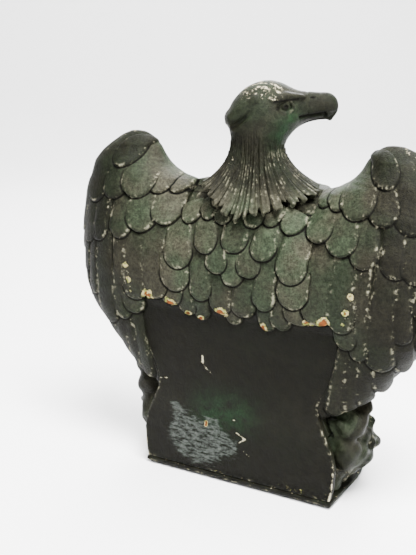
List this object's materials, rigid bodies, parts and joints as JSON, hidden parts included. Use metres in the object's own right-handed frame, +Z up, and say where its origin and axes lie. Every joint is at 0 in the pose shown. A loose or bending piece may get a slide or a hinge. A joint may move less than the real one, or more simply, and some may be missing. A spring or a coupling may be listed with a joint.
{
  "type": "eagle ornament",
  "caption": "Hollow cast metal eagle ornament, wings raised and head turned in profile, feathered back, plain flat rear panel, flat closed underside with a tapped post socket.",
  "frame": {"origin": "on the axis of the post socket, in the plane of the underside of the felt pad", "axes": "+Z up, the eagle's breast faces -Y, its flat rear panel faces +Y, its left wing is at +X"},
  "size_m": [0.304, 0.11, 0.2999],
  "materials": {
    "painted_casting": "old dark green paint over cream ground, worn and chipped, soft satin",
    "plate_steel": "dark painted steel, semi matt",
    "felt": "black felt",
    "socket_iron": "bare turned iron",
    "fastener_steel": "plain zinc plated steel, dulled"
  },
  "bodies": {
    "root": {"back_casting": "painted_casting", "front_casting": "painted_casting", "left_wing": "painted_casting", "right_wing": "painted_casting", "head_and_neck": "painted_casting", "rock_base": "painted_casting", "left_foot": "painted_casting", "right_foot": "painted_casting", "base_plate": "plate_steel", "post_socket": "socket_iron", "felt_pad": "felt", "tie_rod": "fastener_steel", "tie_rod_nuts": "fastener_steel", "tie_rod_washer": "fastener_steel", "wing_bolts": "fastener_steel", "wing_washers": "fastener_steel", "foot_bolts": "fastener_steel", "foot_washers": "fastener_steel", "seam_pins": "fastener_steel", "base_screws": "fastener_steel", "socket_screws": "fastener_steel"}
  },
  "joints": []
}
